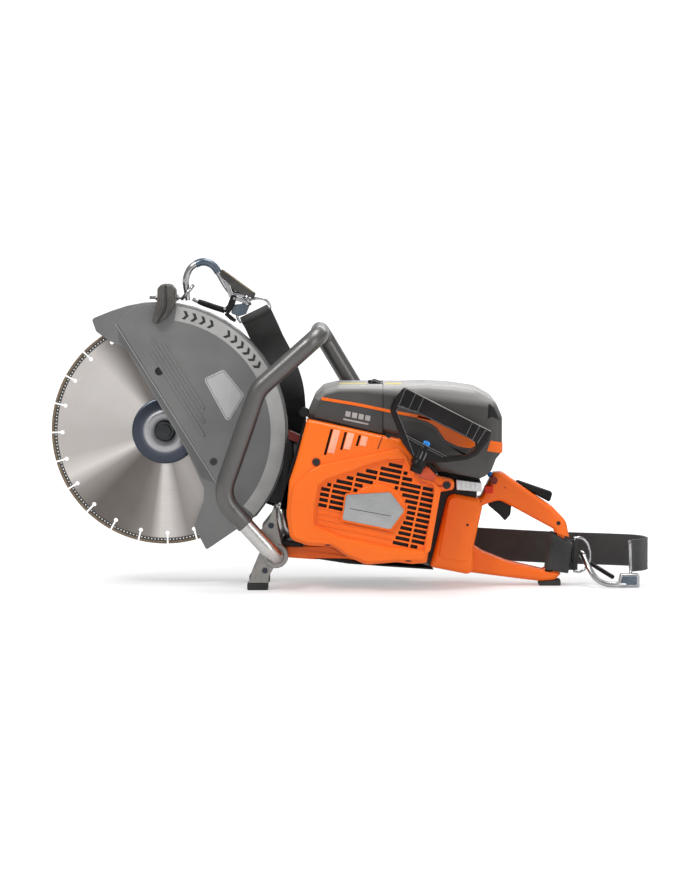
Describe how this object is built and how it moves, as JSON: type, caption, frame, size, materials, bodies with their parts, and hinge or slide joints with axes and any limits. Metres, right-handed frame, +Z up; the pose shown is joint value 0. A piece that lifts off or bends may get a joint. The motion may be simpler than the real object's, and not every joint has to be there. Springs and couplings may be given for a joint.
{
  "type": "rescue saw",
  "caption": "Petrol disc cutter with a tilting blade guard, belt drive, wrap-round front handle, loop rear handle, pull start and carrying sling.",
  "frame": {"origin": "on the ground under the middle of the saw", "axes": "+X towards the rear handle, +Y away from the starter side, +Z up"},
  "size_m": [0.9232, 0.2542, 0.5031],
  "materials": {
    "orange_shell": "satin moulded orange",
    "dark_cover": "fine-grained dark grey moulding",
    "black_plastic": "black moulding",
    "rubber": "matt rubber",
    "grip_rubber": "matt grey rubber",
    "guard_casting": "grey painted magnesium casting",
    "steel": "bare steel",
    "blade_steel": "radially ground steel with a bronze diamond rim",
    "dark_steel": "blackened steel",
    "chrome": "bright plated wire",
    "aluminium": "plain aluminium",
    "engine_castings": "dark casting",
    "webbing": "black woven webbing",
    "red_plastic": "red moulding",
    "blue_plastic": "blue moulding and cord",
    "filter_foam": "oiled foam"
  },
  "bodies": {
    "chassis": {"starter_cover": "orange_shell", "rear_unit": "orange_shell", "chassis_arm": "orange_shell", "cylinder_cover": "dark_cover", "filter_cover": "dark_cover", "belt_guard": "black_plastic", "foot_pad_near": "rubber", "foot_pad_far": "rubber", "rear_foot": "rubber", "drive_belt": "rubber", "handle_damper": "rubber", "handle_grip": "grip_rubber", "cutting_arm": "guard_casting", "handle_tube": "steel", "foot_bracket": "steel", "spindle_bearing": "steel", "spark_plug": "steel", "cover_screw_1": "dark_steel", "cover_screw_2": "dark_steel", "cover_screw_3": "dark_steel", "cover_screw_4": "dark_steel", "rear_hook": "chrome", "rear_ring": "chrome", "name_plate": "aluminium", "intake_bracket": "aluminium", "carburettor": "aluminium", "crankcase": "engine_castings", "cylinder": "engine_castings", "muffler": "engine_castings", "sling_webbing": "webbing", "anchor_strap": "webbing", "purge_bulb": "blue_plastic", "air_filter": "filter_foam"},
    "blade": {"cutting_blade": "blade_steel", "outer_flange": "dark_steel", "inner_flange": "dark_steel", "arbor_bolt": "steel", "blade_spindle": "steel", "driven_pulley": "steel"},
    "guard": {"blade_guard": "guard_casting", "guard_knob": "grip_rubber", "guard_eye": "chrome", "front_hook": "chrome", "front_ring": "chrome"},
    "front_gate": {"front_hook_gate": "dark_steel"},
    "rear_gate": {"rear_hook_gate": "dark_steel"},
    "crank": {"crankshaft": "steel", "flywheel": "aluminium", "clutch_hub": "steel"},
    "drum": {"clutch_drum": "steel"},
    "piston": {"piston": "aluminium"},
    "reel": {"starter_reel": "black_plastic"},
    "pull": {"pull_handle": "black_plastic", "starter_rope": "blue_plastic"},
    "trigger": {"throttle_trigger": "black_plastic"},
    "lockout": {"throttle_lockout": "black_plastic"},
    "switch": {"stop_switch": "red_plastic"},
    "choke": {"choke_knob": "red_plastic"},
    "cap": {"fuel_cap": "black_plastic"},
    "valve": {"decompression_valve": "black_plastic"}
  },
  "joints": [
    {"name": "blade_spin", "type": "hinge", "parent": "chassis", "child": "blade", "pos_m": [-0.287, -0.005, 0.2395], "axis": [0, 1, 0], "continuous": true},
    {"name": "drum_spin", "type": "hinge", "parent": "chassis", "child": "drum", "pos_m": [0.04, 0.07, 0.123], "axis": [0, 1, 0], "continuous": true},
    {"name": "crank_spin", "type": "hinge", "parent": "chassis", "child": "crank", "pos_m": [0.04, 0, 0.123], "axis": [0, 1, 0], "continuous": true},
    {"name": "guard_tilt", "type": "hinge", "parent": "chassis", "child": "guard", "pos_m": [-0.287, -0.005, 0.2395], "axis": [0, 1, 0], "range_deg": [-40, 12], "deforming": ["sling_webbing"]},
    {"name": "front_gate_open", "type": "hinge", "parent": "guard", "child": "front_gate", "pos_m": [-0.1945, -0.005, 0.4275], "axis": [0, 1, 0], "range_deg": [0, 18], "stiffness_Nm_per_rad": 0.05, "springref_deg": -17.19},
    {"name": "rear_gate_open", "type": "hinge", "parent": "chassis", "child": "rear_gate", "pos_m": [0.404, -0.031, 0.014], "axis": [0.443, -0.115, 0.8891], "range_deg": [0, 8], "stiffness_Nm_per_rad": 0.05, "springref_deg": -17.19},
    {"name": "piston_stroke", "type": "slide", "parent": "chassis", "child": "piston", "axis": [0.2079, 0, 0.9781], "range_m": [-0.028, 0.02]},
    {"name": "starter_pull", "type": "slide", "parent": "chassis", "child": "pull", "axis": [0.4955, 0, 0.8686], "range_m": [0, 0.6], "stiffness_N_per_m": 10, "springref_m": -0.5},
    {"name": "reel_turn", "type": "hinge", "parent": "chassis", "child": "reel", "pos_m": [0.04, -0.09, 0.123], "axis": [0, 1, 0], "range_deg": [0, 1570]},
    {"name": "trigger_squeeze", "type": "hinge", "parent": "chassis", "child": "trigger", "pos_m": [0.22, 0, 0.14], "axis": [0, -1, 0], "range_deg": [0, 18], "stiffness_Nm_per_rad": 0.2, "springref_deg": -22.92},
    {"name": "lockout_press", "type": "hinge", "parent": "chassis", "child": "lockout", "pos_m": [0.258, 0, 0.158], "axis": [0, 1, 0], "range_deg": [0, 10], "stiffness_Nm_per_rad": 0.2, "springref_deg": -22.92},
    {"name": "stop_slide", "type": "slide", "parent": "chassis", "child": "switch", "axis": [0, 0, -1], "range_m": [0, 0.004]},
    {"name": "choke_pull", "type": "slide", "parent": "chassis", "child": "choke", "axis": [0, -1, 0], "range_m": [0, 0.008]},
    {"name": "cap_turn", "type": "hinge", "parent": "chassis", "child": "cap", "pos_m": [0.16, 0.058, 0.1], "axis": [0, 1, 0], "range_deg": [0, 90]},
    {"name": "valve_press", "type": "slide", "parent": "chassis", "child": "valve", "axis": [0, 0, -1], "range_m": [0, 0.004]}
  ],
  "couplings": [
    {"joint": "drum_spin", "follows": "blade_spin", "ratio": 2},
    {"joint": "reel_turn", "follows": "starter_pull", "rad_per_m": 45.45}
  ]
}
